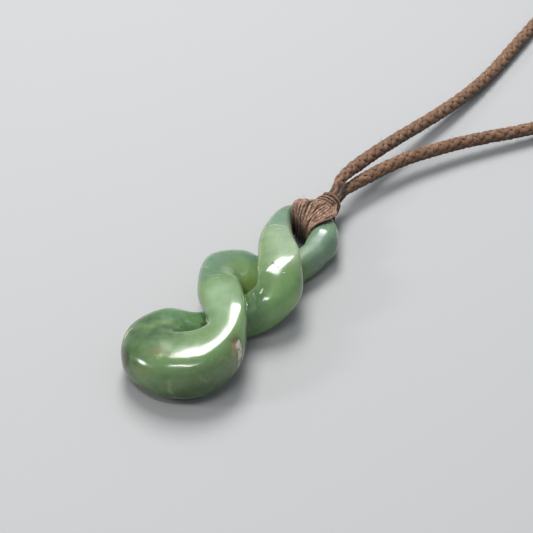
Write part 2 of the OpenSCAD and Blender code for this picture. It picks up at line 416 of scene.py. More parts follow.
# Plaited cord
# Routes of the two halves of the cord, from inside the neck of the lashing to inside the back knot.
CORD_LEFT_ROUTE = [
    (1.2, 28.4, 5), (0.9, 30.6, 6.1), (0.9, 34, 5.9), (1.3, 38, 5.5), (2, 43, 5), (3.1, 50, 4.2),
    (4.5, 58, 3.2), (6, 67, 2.3), (7, 76, 1.6), (7.4, 84, 1.3), (7.5, 92, 1.3), (7.6, 102, 1.3),
    (8.2, 122, 1.3), (10, 144, 1.3), (15, 166, 1.3), (22, 186, 1.3), (30, 204, 1.3),
    (38, 215.6, 1.4), (47, 221.8, 1.8), (57, 223.4, 2.6), (60, 223.3, 2.6),
]
CORD_RIGHT_ROUTE = [
    (1.5, 28.4, 3.9), (1.8, 30.6, 4.1), (2.5, 33.6, 3.9), (3.5, 37, 3.8), (5, 41, 3.8),
    (7, 45.6, 3.6), (9.6, 50, 3.4), (12.6, 54.6, 3.2), (16, 59.2, 2.9), (19.4, 63.4, 2.6),
    (23, 68, 2.3), (31, 78, 1.6), (41, 90, 1.3), (53, 106, 1.3), (65, 125, 1.3), (76, 147, 1.3),
    (84, 170, 1.3), (87, 190, 1.3), (84, 206, 1.4), (77, 216.8, 1.8),
    (67.6, 221.6, 2.6), (64.6, 222.3, 2.6),
]
ROUTE_STEPS = 24
PLAIT_STEP = 0.34
PLAIT_SEED = 7
PLAIT_STRANDS = 8
PLAIT_PITCH = 10.0
# How far the strands lie from the middle of the cord, and how far they weave out and in from there.
PLAIT_REACH = 0.84
PLAIT_WEAVE = 0.12
PLAIT_CORE, PLAIT_CORE_SIDES = 0.74, 12
# How far out the crevices and the crests are.
PLAIT_CREVICE = 0.80
PLAIT_CREST = 1.24
# Share of its thickness that the plait keeps where the lashing and the knot grip it, and the
# lengths in which it fills out from each.
PLAIT_GRIP_SHARE = 0.72
PLAIT_GRIP_LENGTH = 8.0
PLAIT_KNOT_LENGTH = 3.0
PLAIT_SLACK = 0.05
PLAIT_UNEVEN = 0.07
# One strand: half its thickness and width, and the threads side by side that show on it.
STRAND_THICK = 0.31
STRAND_WIDE = 0.58
STRAND_RING_SIDES = 14
STRAND_TURN = 6.0
STRAND_THREADS = 3
STRAND_THREAD_DEPTH = 0.16
STRAND_THREAD_MEAN = 0.6


def flat_strand_rings(centre, axis_path, fullness, turn_each):
    """Rings along a strand that lies flat on the cord it goes round, its threads as soft ridges."""
    ahead = unit(np.gradient(centre, axis=0))
    outward = centre - axis_path
    outward = unit(outward - ahead * np.sum(outward * ahead, axis=1)[:, None])
    beside = np.cross(ahead, outward)
    angle = angles_round(STRAND_RING_SIDES)
    turned = angle - (FULL_TURN * length_along(centre) / turn_each)[:, None]
    ridges = np.abs(np.cos(STRAND_THREADS * turned / 2)) - STRAND_THREAD_MEAN
    reach = 1 + STRAND_THREAD_DEPTH * ridges
    across = np.sin(angle) * reach * (STRAND_WIDE * fullness)[:, None]
    rise = np.cos(angle) * reach * (STRAND_THICK * fullness)[:, None]
    across = across[..., None] * beside[:, None]
    return centre[:, None] + across + rise[..., None] * outward[:, None]


def make_plait(name, route, first_turn):
    """A round plait: half its strands wind each way, over one and under the next."""
    path = smooth_path(route, ROUTE_STEPS, PLAIT_STEP)
    beside, over = carried_frames(path)
    along = length_along(path)
    gripped = np.interp(along, [0, PLAIT_GRIP_LENGTH], [PLAIT_GRIP_SHARE, 1.0])
    gripped *= np.interp(along[-1] - along, [0, PLAIT_KNOT_LENGTH], [PLAIT_GRIP_SHARE, 1.0])
    uneven = np.random.default_rng(PLAIT_SEED)
    knots = np.arange(0, along[-1] + 2 * UNEVEN_EVERY, UNEVEN_EVERY)
    bundles = []
    for strand in range(PLAIT_STRANDS):
        way = 1 if strand % 2 == 0 else -1
        start = first_turn + (strand // 2) * 2 * FULL_TURN / PLAIT_STRANDS
        slack = np.interp(along, knots, uneven.normal(0, PLAIT_SLACK, len(knots)))
        fullness = np.interp(along, knots, uneven.normal(1.0, PLAIT_UNEVEN, len(knots)))
        turn = way * (FULL_TURN * along / PLAIT_PITCH) + start + slack
        weave = way * np.cos(PLAIT_STRANDS * math.pi * along / PLAIT_PITCH)
        reach = (PLAIT_REACH + PLAIT_WEAVE * weave) * gripped
        centre = (path + beside * (np.cos(turn) * reach)[:, None]
                  + over * (np.sin(turn) * reach)[:, None])
        rings = flat_strand_rings(centre, path, gripped * fullness, STRAND_TURN * way)
        out = np.linalg.norm(rings - path[:, None], axis=2) / gripped[:, None]
        out = (out - PLAIT_CREVICE) / (PLAIT_CREST - PLAIT_CREVICE)
        bundles.append((rings, np.clip(out, 0, 1)))
    core = even_crest(thread_rings(path, PLAIT_CORE * gripped, PLAIT_CORE_SIDES), 0.0)
    fuzz = loose_fibres(bundles, FUZZ_PER_MILLIMETRE * along[-1], path[:, None], uneven)
    return join_threads(name, bundles + [core] + fuzz)


# The lashing
# Threads run from the neck over the bar of the upper loop, down through the loop and back under the
# bar. One row for each place along them: the left edge, the middle and the right edge of their fan.
LASHING_FAN = [
    ((0.6, 30.4, 5.9), (1.1, 30.4, 6.4), (1.8, 30.4, 5.8)),
    ((0.8, 28.2, 5.0), (1.4, 28.0, 5.5), (2.4, 28.0, 4.7)),
    ((0.1, 26.2, 4.6), (1.1, 25.8, 5.2), (2.9, 26.0, 4.3)),
    ((-1.5, 23.8, 4.9), (1.0, 23.6, 5.7), (4.0, 23.6, 4.8)),
    ((-2.9, 21.4, 6.4), (0.9, 21.2, 7.0), (4.8, 21.6, 5.7)),
    ((-2.6, 19.4, 7.0), (1.1, 19.2, 6.9), (4.4, 19.4, 6.5)),
    ((-1.7, 17.9, 6.4), (1.2, 17.6, 6.2), (3.6, 17.3, 6.6)),
    ((-1.1, 17.2, 4.8), (1.4, 16.9, 4.6), (2.7, 16.2, 5.4)),
    ((-1.2, 17.2, 2.8), (1.5, 16.9, 2.8), (2.5, 16.3, 3.2)),
    ((-1.8, 18.4, 1.1), (1.2, 18.2, 1.0), (3.2, 17.8, 1.0)),
    ((-2.4, 20.6, 0.7), (1.0, 20.6, 0.6), (4.0, 20.6, 0.8)),
    ((-2.0, 23.0, 1.0), (0.9, 23.2, 0.8), (3.8, 23.0, 1.2)),
    ((-0.4, 25.6, 2.4), (0.9, 25.8, 2.2), (2.4, 25.6, 2.6)),
    ((0.8, 27.8, 3.1), (1.4, 28.0, 2.8), (2.0, 27.8, 3.2)),
    ((1.1, 30.4, 3.3), (1.6, 30.4, 3.0), (2.1, 30.4, 3.5)),
]
LASHING_SEED = 11
# What the threads go round.
LASHING_MIDDLE = (1.0, 21.5, 3.6)
LASHING_THREADS = 19
LASHING_RADIUS, LASHING_UNEVEN = 0.27, (0.8, 1.15)
LASHING_SIDES = 8
FAN_STEPS, FAN_STEP = 10, 0.35
# A thread strays across the fan anew at each of these rows, by a share of the fan's width, and
# sways about its way by so many millimetres.
STRAY_ROWS = (0, 4, 7, 10, 14)
LASHING_STRAY = 0.045
LASHING_SWAY = 0.10
# How deep each layer of threads lies, as a share of the way to the middle of the fan, and how much
# painted shade darkens each deeper one.
LASHING_LAYERS = (0.0, 0.06, 0.11)
LAYER_UNEVEN = 0.02
LAYER_PAINTED_SHADE = 0.3
LASHING_FUZZ = 260
# The bunched threads inside the neck: y, x, z, width and height of each cut across them.
NECK_CORE = [
    (23.9, 0.9, 3.4, 4.6, 3.4),
    (24.8, 1.0, 3.7, 3.8, 3.2),
    (26.0, 1.2, 3.9, 2.9, 2.9),
    (28.0, 1.3, 4.3, 2.1, 2.7),
    (30.2, 1.4, 4.8, 1.9, 3.2),
]
NECK_CUTS, NECK_SIDES = 40, 48
NECK_RIDGES, NECK_RIDGE_DEPTH = 16, 0.05
NECK_CREST = 0.35
NECK_MIDDLE = (1.1, 25.8, 3.9)
# A thread binds the neck just behind the stone, between these two places along it. It wavers along
# the neck and stands off it unevenly, each so many times in one turn.
BINDING_FROM_TO = (24.9, 26.7)
BINDING_TURNS, BINDING_STEPS = 4.5, 30
BINDING_WAVER, BINDING_WAVERS = 0.12, 0.5
BINDING_OUT, BINDING_UNEVEN, BINDING_SWELLS = 0.45, 0.04, 1.7
BINDING_RADIUS, BINDING_STEP = 0.24, 0.3


def fan_path(shares, sunk):
    """The path of one thread of the fan, by its share of the way across in each row, from 0 left to
    1 right, and sunk by a share of the way to the fan's middle."""
    table = np.array(LASHING_FAN)
    left, middle, right = table[:, 0], table[:, 1], table[:, 2]
    share = np.clip(shares, 0.0, 1.0)[:, None]
    rows = (left * (2 * share - 1) * (share - 1) + middle * 4 * share * (1 - share)
            + right * share * (2 * share - 1))
    return smooth_path(rows + (rows.mean(axis=0) - rows) * sunk, FAN_STEPS, FAN_STEP)


def make_lashing():
    uneven = np.random.default_rng(LASHING_SEED)
    middle = np.array(LASHING_MIDDLE)
    rows = np.arange(len(LASHING_FAN))
    bundles = []
    for layer, sunk in enumerate(LASHING_LAYERS):
        for thread in range(LASHING_THREADS - layer):
            share = (thread + 0.5 * layer + 0.25 + 0.5 * uneven.random()) / LASHING_THREADS
            stray = uneven.normal(0, LASHING_STRAY, len(STRAY_ROWS))
            path = fan_path(share + np.interp(rows, STRAY_ROWS, stray),
                            sunk + uneven.uniform(-LAYER_UNEVEN, LAYER_UNEVEN))
            along = length_along(path)
            sway = uneven.normal(0, LASHING_SWAY, (int(along[-1] / UNEVEN_EVERY) + 3, 3))
            knots = np.arange(len(sway)) * UNEVEN_EVERY
            sway = [np.interp(along, knots, sway[:, axis]) for axis in range(3)]
            radius = LASHING_RADIUS * uneven.uniform(*LASHING_UNEVEN)
            rings = thread_rings(path + np.stack(sway, axis=1), radius, LASHING_SIDES, TWO_PLY)
            # Deeper layers get a lower crest value, which the thread material turns into painted
            # shade.
            bundles.append((rings, crest_round(rings, middle) - LAYER_PAINTED_SHADE * layer))
    fuzz = loose_fibres(bundles[:LASHING_THREADS], LASHING_FUZZ, middle, uneven)
    neck = [neck_core(), neck_binding(uneven)]
    return join_threads("wound_lashing", bundles + fuzz + neck)


def neck_cuts(along):
    """The middle, width and height of the neck's bunched threads, at places along it."""
    y, *columns = np.array(NECK_CORE).T
    return [np.interp(along, y, column) for column in columns]


def neck_core():
    """The bunch of threads that fills the neck."""
    along = np.linspace(NECK_CORE[0][0], NECK_CORE[-1][0], NECK_CUTS)[:, None]
    x, z, wide, high = neck_cuts(along)
    angle = angles_round(NECK_SIDES)
    ridges = 1 + NECK_RIDGE_DEPTH * np.cos(NECK_RIDGES * angle)
    core = np.stack([
        x + np.cos(angle) * ridges * wide / 2,
        np.repeat(along, NECK_SIDES, axis=1),
        z + np.sin(angle) * ridges * high / 2,
    ], axis=-1)
    return even_crest(core, NECK_CREST)


def neck_binding(uneven):
    """The thread that binds the neck."""
    turn = np.linspace(0, BINDING_TURNS * FULL_TURN, int(BINDING_TURNS * BINDING_STEPS))
    place = np.interp(turn, [0, turn[-1]], BINDING_FROM_TO)
    x, z, wide, high = neck_cuts(place)
    waver = np.sin(turn * BINDING_WAVERS + uneven.uniform(0, FULL_TURN))
    place += BINDING_WAVER * waver
    out = BINDING_OUT + BINDING_UNEVEN * np.sin(turn * BINDING_SWELLS)
    path = np.stack([x + np.cos(turn) * (wide / 2 + out), place,
                     z + np.sin(turn) * (high / 2 + out)], axis=1)
    rings = thread_rings(even_steps(path, BINDING_STEP), BINDING_RADIUS, LASHING_SIDES, TWO_PLY)
    return rings, crest_round(rings, np.array(NECK_MIDDLE)) - NECK_CREST


# The back knot
KNOT_ENDS = ((57, 223.4, 2.6), (67.6, 221.6, 2.6))
KNOT_TURNS, KNOT_STEPS, KNOT_STEP = 10, 28, 0.4
# The thread starts so far inside each end, and its way round is widest in the middle of the knot.
KNOT_INSIDE = 0.6
KNOT_END_REACH, KNOT_SWELL = 1.35, 0.6
KNOT_THREAD_RADIUS, KNOT_THREAD_SIDES = 0.5, 10
KNOT_CORE_RADIUS, KNOT_CORE_POINTS, KNOT_CORE_SIDES = 1.5, 12, 16


def make_back_knot():
    """Thread wound round the two cord ends where they pass each other, behind the neck."""
    start, end = (np.array(p, float) for p in KNOT_ENDS)
    ahead = unit(end - start)
    beside = np.cross(UPWARD, ahead)
    start, end = start + ahead * KNOT_INSIDE, end - ahead * KNOT_INSIDE
    turn = np.linspace(0, KNOT_TURNS * FULL_TURN, KNOT_TURNS * KNOT_STEPS)
    place = turn / turn[-1]
    reach = KNOT_END_REACH + KNOT_SWELL * np.sin(math.pi * place) ** 0.5
    across = beside * (np.cos(turn) * reach)[:, None]
    rise = np.array(UPWARD) * (np.sin(turn) * reach)[:, None]
    winding = even_steps(start + (end - start) * place[:, None] + across + rise, KNOT_STEP)
    rings = thread_rings(winding, KNOT_THREAD_RADIUS, KNOT_THREAD_SIDES, THREE_PLY)
    core = start + (end - start) * np.linspace(0, 1, KNOT_CORE_POINTS)[:, None]
    core = even_crest(thread_rings(core, KNOT_CORE_RADIUS, KNOT_CORE_SIDES), 0.0)
    return join_threads("wound_back_knot", [(rings, crest_round(rings, (start + end) / 2)), core])


# Building materials from nodes
def add(tree, kind, inputs, **settings):
    """A node with its settings made, and with each input set to a value or linked from a socket."""
    node = tree.nodes.new(kind)
    for name, value in settings.items():
        setattr(node, name, value)
    for key, value in inputs.items():
        if isinstance(value, bpy.types.NodeSocket):
            tree.links.new(value, node.inputs[key])
        else:
            node.inputs[key].default_value = value
    return node


def maths(tree, operation, *values):
    return add(tree, "ShaderNodeMath", dict(enumerate(values)), operation=operation).outputs[0]


def times(tree, first, second):
    return maths(tree, "MULTIPLY", first, second)


def times_plus(tree, first, second, third):
    return maths(tree, "MULTIPLY_ADD", first, second, third)


def vector_maths(tree, operation, *values):
    node = add(tree, "ShaderNodeVectorMath", dict(enumerate(values)), operation=operation)
    return node.outputs["Value" if operation in ("DOT_PRODUCT", "DISTANCE") else "Vector"]


def remap(tree, value, low, high, to_low=0.0, to_high=1.0, smooth=True):
    """The value with low and high brought to two other values, and nothing let past them."""
    inputs = dict(enumerate((value, low, high, to_low, to_high)))
    kind = "SMOOTHSTEP" if smooth else "LINEAR"
    return add(tree, "ShaderNodeMapRange", inputs, interpolation_type=kind).outputs[0]


def mixed(tree, share, first, second, way="MIX"):
    """Two colours mixed, with a share from 0 to 1 of the second."""
    first, second = ((*c, 1) if isinstance(c, tuple) else c for c in (first, second))
    inputs = {0: share, 6: first, 7: second}
    return add(tree, "ShaderNodeMix", inputs, data_type="RGBA", blend_type=way).outputs[2]


def noise(tree, place, scale, detail=3.0, roughness=0.5):
    inputs = {"Vector": place, "Scale": scale, "Detail": detail, "Roughness": roughness}
    return add(tree, "ShaderNodeTexNoise", inputs).outputs


def upright_part(tree, vector):
    return add(tree, "ShaderNodeSeparateXYZ", {0: vector}).outputs["Z"]


def bumped(tree, shader, height, depth):
    """Gives the shader a relief whose height of 1 stands for a depth in metres."""
    bump = add(tree, "ShaderNodeBump", {"Strength": 1.0, "Distance": depth, "Height": height})
    tree.links.new(bump.outputs["Normal"], shader.inputs["Normal"])


def make_group(name, build, output, kind="Float", **inputs):
    """A shader node group with named sockets and the nodes that build gives it."""
    group = bpy.data.node_groups.new(name, "ShaderNodeTree")
    for label, value in inputs.items():
        input_kind = "NodeSocketVector" if value is ORIGIN else "NodeSocketFloat"
        socket = group.interface.new_socket(name=label, in_out="INPUT", socket_type=input_kind)
        socket.default_value = value
    group.interface.new_socket(name=output, in_out="OUTPUT", socket_type="NodeSocket" + kind)
    start, end = group.nodes.new("NodeGroupInput"), group.nodes.new("NodeGroupOutput")
    group.links.new(build(group, start.outputs), end.inputs[output])
    return group


def grouped(tree, group, **inputs):
    """The output of a group placed in a material, with its own values."""
    return add(tree, "ShaderNodeGroup", inputs, node_tree=group).outputs[0]


def new_material(name, **values):
    """A material, its tree and its shader, which takes the values that are the same all over."""
    material = bpy.data.materials.new(name)
    material.use_nodes = True
    shader = material.node_tree.nodes["Principled BSDF"]
    for label, value in values.items():
        shader.inputs[label.replace("_", " ")].default_value = value
    return material, material.node_tree, shader


# Effects that materials share
# Where the noise of the clouds goes from 0 to 1 at full contrast, and how much wider at none.
CLOUD_LOW, CLOUD_HIGH, CLOUD_WIDER = 0.48, 0.52, 0.35
# Share of a fleck that is at its full strength.
FLECK_CORE = 0.3


def build_place(group, _):
    """Where a point of the surface is, in the pendant's millimetres."""
    metres = add(group, "ShaderNodeTexCoord", {}).outputs["Object"]
    return vector_maths(group, "MULTIPLY_ADD", metres, (1 / MM,) * 3, tuple(FOOTPRINT_MID))


def build_ragged_place(group, start):
    """Shifts places here and there, so that a mark laid out on them gets a ragged edge."""
    shift = noise(group, start["Place"], maths(group, "DIVIDE", 1.0, start["Size"]), 2.0)["Color"]
    shift = vector_maths(group, "SUBTRACT", shift, (0.5, 0.5, 0.5))
    amount = times(group, start["Amount"], 2.0)
    return vector_maths(group, "MULTIPLY_ADD", shift, amount, start["Place"])


def build_mark(group, start):
    """A soft patch round the line from one place to another: 1 on the line, 0 past its reach."""
    line = vector_maths(group, "SUBTRACT", start["End"], start["Start"])
    out = vector_maths(group, "SUBTRACT", start["Place"], start["Start"])
    length = maths(group, "MAXIMUM", vector_maths(group, "DOT_PRODUCT", line, line), TINY)
    share = maths(group, "DIVIDE", vector_maths(group, "DOT_PRODUCT", out, line), length)
    share = remap(group, share, 0.0, 1.0, smooth=False)
    nearest = vector_maths(group, "MULTIPLY_ADD", line, share, start["Start"])
    distance = vector_maths(group, "DISTANCE", start["Place"], nearest)
    inner = times(group, start["Reach"], maths(group, "SUBTRACT", 1.0, start["Softness"]))
    return remap(group, distance, inner, start["Reach"], 1.0, 0.0)


def build_clouds(group, start):
    """Soft clouds through the stone, from 0 to 1."""
    scale = maths(group, "DIVIDE", 1.0, start["Size"])
    cloud = noise(group, start["Place"], scale, 4.0, 0.55)["Fac"]
    spread = times(group, maths(group, "SUBTRACT", 1.0, start["Contrast"]), CLOUD_WIDER)
    low = maths(group, "SUBTRACT", CLOUD_LOW, spread)
    high = maths(group, "ADD", CLOUD_HIGH, spread)
    return remap(group, cloud, low, high)


def build_stone_fibres(group, start):
    """Felted fibres of the stone, drawn out along one direction across it."""
    turned = {"Vector": start["Place"], "Angle": start["Turn"]}
    turned = add(group, "ShaderNodeVectorRotate", turned, rotation_type="Z_AXIS").outputs["Vector"]
    grain = {0: start["Width"], 1: start["Length"], 2: start["Width"]}
    grain = add(group, "ShaderNodeCombineXYZ", grain).outputs[0]
    return noise(group, vector_maths(group, "DIVIDE", turned, grain), 1.0, 3.0, 0.6)["Fac"]


def build_flecks(group, start):
    """Small scattered flecks, a share of them shown."""
    scale = maths(group, "DIVIDE", 1.0, start["Spacing"])
    cells = add(group, "ShaderNodeTexVoronoi", {"Vector": start["Place"], "Scale": scale}).outputs
    near = remap(group, times(group, cells["Distance"], start["Spacing"]),
                 times(group, start["Size"], FLECK_CORE), start["Size"], 1.0, 0.0)
    chance = add(group, "ShaderNodeSeparateColor", {0: cells["Color"]}).outputs[0]
    return times(group, near, maths(group, "LESS_THAN", chance, start["Share"]))


def build_yarn_fibres(group, start):
    """Fine fibres that run along a thread, leaning round it, laid out by the map of the threads."""
    thread_map = add(group, "ShaderNodeUVMap", {}, uv_map="thread").outputs[0]
    thread_map = add(group, "ShaderNodeSeparateXYZ", {0: thread_map}).outputs
    lean = times(group, thread_map["Y"], start["Lean"])
    angle = times_plus(group, thread_map["X"], FULL_TURN, lean)
    place = add(group, "ShaderNodeCombineXYZ", {
        0: times(group, maths(group, "COSINE", angle), start["Fibres"]),
        1: times(group, maths(group, "SINE", angle), start["Fibres"]),
        2: maths(group, "DIVIDE", thread_map["Y"], start["Length"]),
    }).outputs[0]
    return noise(group, place, 1.0, 3.0, 0.6)["Fac"]


PENDANT_PLACE = make_group("pendant_place", build_place, "Place", "Vector")
RAGGED_PLACE = make_group("ragged_place", build_ragged_place, "Place", "Vector", Place=ORIGIN,
                          Size=1.0, Amount=0.5)
SOFT_MARK = make_group("soft_mark", build_mark, "Mask", Place=ORIGIN, Start=ORIGIN, End=ORIGIN,
                       Reach=1.0, Softness=0.5)
STONE_CLOUDS = make_group("stone_clouds", build_clouds, "Cloud", Place=ORIGIN, Size=3.0,
                          Contrast=0.5)
STONE_FIBRES = make_group("stone_fibres", build_stone_fibres, "Fibre", Place=ORIGIN, Turn=0.0,
                          Width=0.5, Length=5.0)
STONE_FLECKS = make_group("stone_flecks", build_flecks, "Mask", Place=ORIGIN, Spacing=1.0, Size=0.2,
                          Share=0.3)
YARN_FIBRES = make_group("yarn_fibres", build_yarn_fibres, "Fibre", Fibres=3.0, Lean=1.0,
                         Length=2.0)


def soft_mark(tree, place, start, end, reach, softness):
    return grouped(tree, SOFT_MARK, Place=place, Start=start, End=end, Reach=reach,
                   Softness=softness)


def marked(tree, place, colour, marks):
    """The colour with a table of marks laid over it, and each one's mask by its name."""
    masks = {}
    for name, start, end, reach, softness, tint, strength in marks:
        masks[name] = times(tree, soft_mark(tree, place, start, end, reach, softness), strength)
        colour = mixed(tree, masks[name], colour, tint)
    return colour, masks


# Greenstone
STONE_GREEN = (0.108, 0.186, 0.068)
DARK_GREEN = (0.050, 0.125, 0.045)
PALE_GREEN = (0.25, 0.36, 0.17)
YELLOW_GREEN = (0.16, 0.23, 0.08)
RING_GREEN = (0.21, 0.22, 0.10)
VEIN_YELLOW = (0.42, 0.44, 0.20)
# Painted shade in the bulb's crease.
CREASE_SHADE = (0.040, 0.040, 0.018)
DASH_GREEN = (0.30, 0.40, 0.28)
# Where the stone's colour drifts, and where painted shade darkens it on the shaded left, at the
# foot and on the gap's wall: name, from, to, reach, softness, colour and strength.
STONE_TINTS = [
    ("shaded left", (-6.2, -18.6, 8.0), (-8.2, -23.8, 6.6), 9.2, 0.8, (0.016, 0.052, 0.01), 0.95),
    ("bulb's back", (-4.6, -15.4, 7.0), (-1.6, -13.6, 6.4), 4.6, 0.85, (0.052, 0.135, 0.05), 0.9),
    # Painted shade along the foot of the stone, darker towards the floor.
    ("shaded foot", (-6.4, -23.6, 0.4), (5.8, -24.6, 0.4), 7.8, 0.65, (0.016, 0.04, 0.002), 1.0),
    ("shaded right foot", (6.4, -23.4, 0.8), (8.0, -18.0, 0.8), 6.6, 0.7, (0.018, 0.046, 0.002), 0.95),
    ("pale upper strand", (-0.2, -9.8, 9.8), (4.4, -13.4, 10.4), 4.6, 0.9, (0.23, 0.325, 0.2), 0.9),
    ("bright edge", (6.0, -11.5, 10.0), (8.2, -15.8, 8.6), 1.6, 0.9, (0.15, 0.27, 0.09), 0.8),
    ("yellow edge", (-2.6, -10.6, 8.5), (-1.2, -13.0, 8.0), 2.4, 0.9, (0.15, 0.225, 0.07), 0.8),
    ("blue green lobe", (-5.6, -4.4, 8.4), (-6.8, 0.4, 7.0), 4.6, 0.6, (0.068, 0.142, 0.086), 0.92),
    ("back of the lobe", (-6.8, 0.4, 7.0), (-3.0, 5.4, 5.6), 4.4, 0.7, (0.082, 0.158, 0.098), 0.9),
    ("inside of the lobe", (-2.2, 1.4, 6.7), (-0.6, 0.6, 5.6), 2.8, 0.9, (0.12, 0.2, 0.065), 0.8),
    # Painted shade: the wall of the gap is darker olive down in the recess.
    ("gap's shaded wall", (0.6, -1.2, 5.2), (1.4, -3.0, 2.5), 2.6, 0.7, (0.11, 0.155, 0.025), 0.95),
    ("pale crossing", (0.8, 9.6, 9.0), (5.0, 4.0, 10.0), 5.2, 0.9, (0.28, 0.35, 0.235), 0.95),
    ("edge of the crossing", (-0.6, 5.4, 8.4), (1.4, 1.0, 8.8), 1.8, 0.9, (0.19, 0.25, 0.075), 0.8),
    ("right lobe", (8.8, -3.0, 6.6), (7.0, -7.0, 4.5), 5.0, 0.9, (0.21, 0.38, 0.13), 0.85),
    ("right lobe's left", (4.2, -5.0, 7.8), (5.6, -7.6, 4.8), 3.8, 0.85, (0.06, 0.13, 0.05), 0.95),
    ("shoulder", (-3.2, 17.6, 6.6), (0.6, 21.0, 4.8), 5.0, 0.7, (0.125, 0.19, 0.155), 0.95),
    ("under shoulder", (-3.6, 13.6, 7.2), (1.2, 15.2, 7.8), 3.6, 0.6, (0.135, 0.215, 0.165), 0.9),
    ("right arm", (6.8, 12.4, 5.2), (5.4, 20.6, 5.5), 5.2, 0.7, (0.125, 0.195, 0.155), 0.95),
    ("inside of the arm", (2.6, 11.6, 4.6), (2.8, 14.6, 4.8), 2.4, 0.9, (0.2, 0.3, 0.2), 0.7),
]
# Single marks with ragged edges, in the same columns.
STONE_MARKS = [
    ("yellow band, left", (-8.2, -21.1, 7.5), (-6.0, -20.3, 8.0), 1.2, 1.0, YELLOW_GREEN, 0.35),
    ("yellow band, middle", (-6.0, -20.3, 8.0), (-4.7, -18.1, 7.8), 1.2, 1.0, YELLOW_GREEN, 0.4),
    ("yellow band, right", (-4.7, -18.1, 7.8), (-2.7, -17.5, 7.2), 1.1, 1.0, YELLOW_GREEN, 0.4),
    ("cloud, left", (-2.5, -25.6, 8.4), (-1.5, -24.8, 8.6), 1.1, 1.0, (0.13, 0.095, 0.05), 0.6),
    ("cloud, right", (-1.5, -24.8, 8.6), (1.7, -24.5, 8.9), 0.8, 1.0, (0.15, 0.12, 0.06), 0.5),
    ("pale spot", (-0.9, -25.8, 8.4), (-0.6, -25.6, 8.5), 0.65, 1.0, (0.28, 0.38, 0.19), 0.75),
    ("pale stain", (-3.9, -28.0, 5.8), (-1.6, -28.1, 6.6), 1.2, 1.0, (0.17, 0.19, 0.07), 0.4),
    ("pale streak", (2.3, -27.6, 6.0), (2.4, -27.8, 4.0), 0.65, 0.9, (0.22, 0.30, 0.14), 0.5),
    ("pale wisp", (5.2, -25.3, 7.7), (6.8, -24.6, 5.8), 0.5, 1.0, (0.20, 0.25, 0.09), 0.4),
    ("pale ring, left", (7.6, -22.0, 8.1), (8.0, -20.8, 8.3), 0.45, 0.9, RING_GREEN, 0.65),
    ("pale ring, top", (8.0, -20.8, 8.3), (8.6, -19.9, 7.3), 0.45, 0.9, RING_GREEN, 0.65),
    ("pale ring, right", (8.6, -19.9, 7.3), (8.8, -19.9, 6.1), 0.4, 0.9, RING_GREEN, 0.5),
    ("dark patch", (-6.7, -26.5, 6.4), (-6.0, -27.2, 5.8), 1.3, 0.8, (0.045, 0.035, 0.018), 0.8),
    ("brown rim", (8.1, -17.6, 8.8), (8.9, -17.7, 4.7), 1.6, 0.7, (0.085, 0.062, 0.03), 0.85),
    ("tan by the cream", (8.3, -18.2, 8.7), (8.5, -18.8, 7.6), 0.9, 0.7, (0.30, 0.24, 0.12), 0.75),
    ("cream", (8.5, -17.4, 8.4), (8.9, -17.6, 6.4), 0.9, 0.6, (0.58, 0.55, 0.42), 0.95),
    ("cream tail", (8.9, -17.8, 6.2), (8.9, -18.1, 4.9), 0.5, 0.7, (0.42, 0.38, 0.25), 0.8),
    ("brown fleck", (8.6, -17.9, 7.9), (8.8, -17.3, 7.2), 0.32, 0.8, (0.11, 0.07, 0.03), 0.8),
    # Painted shade in the dimple's groove, under the overhanging strand.
    ("dimple groove shade", (-1.0, -15.0, 5.4), (0.0, -13.3, 5.5), 0.6, 0.8, (0.05, 0.035, 0.016), 0.7),
    ("lobe's smudge", (-4.3, -7.0, 8.8), (-3.7, -7.4, 9.1), 0.9, 1.0, (0.06, 0.12, 0.07), 0.5),
]
# Fine scratches, veins and cracks with nearly sharp edges, and a line of painted shade in the
# bulb's crease, in the same columns.
STONE_SCRATCHES = [
    ("crack, left", (4.0, 0.8, 10.1), (5.6, 0.4, 10.0), 0.22, 0.6, (0.03, 0.055, 0.018), 0.95),
    ("crack, right", (6.6, 0.1, 9.7), (9.0, 0.9, 8.6), 0.17, 0.6, (0.04, 0.07, 0.022), 0.75),
    ("cream fleck", (5.0, -4.5, 7.9), (5.1, -3.9, 8.2), 0.20, 0.5, (0.62, 0.62, 0.40), 0.85),
    ("yellow vein, low", (-8.9, -23.3, 6.5), (-9.1, -22.2, 6.7), 0.34, 0.8, VEIN_YELLOW, 0.8),
    ("yellow vein, high", (-9.1, -22.2, 6.7), (-8.8, -21.4, 7.1), 0.28, 0.8, VEIN_YELLOW, 0.6),
    # Painted shade along the bulb's crease.
    ("crease shade, left", (-2.3, -16.9, 7.0), (0.4, -18.1, 8.3), 0.28, 0.8, CREASE_SHADE, 0.65),
    ("crease shade, right", (0.4, -18.1, 8.3), (1.8, -17.4, 8.8), 0.24, 0.8, CREASE_SHADE, 0.55),
    ("dash, high", (-6.6, -3.6, 7.8), (-5.3, -3.9, 8.6), 0.3, 1.0, DASH_GREEN, 0.4),
    ("dash, middle", (-3.5, -6.5, 9.3), (-2.1, -5.4, 9.5), 0.25, 1.0, DASH_GREEN, 0.45),
    ("dash, low", (-2.7, -6.9, 9.6), (-1.9, -6.3, 9.7), 0.22, 1.0, DASH_GREEN, 0.45),
    ("shoulder, left", (-2.1, 10.9, 8.2), (-1.5, 11.6, 8.3), 0.17, 0.7, (0.50, 0.58, 0.48), 0.6),
    ("shoulder, right", (-1.5, 11.6, 8.3), (0.3, 11.9, 8.4), 0.15, 0.7, (0.50, 0.58, 0.48), 0.5),
    ("shoulder, low", (-0.5, 10.2, 8.7), (0.4, 11.2, 8.6), 0.15, 0.7, (0.46, 0.54, 0.42), 0.45),
]
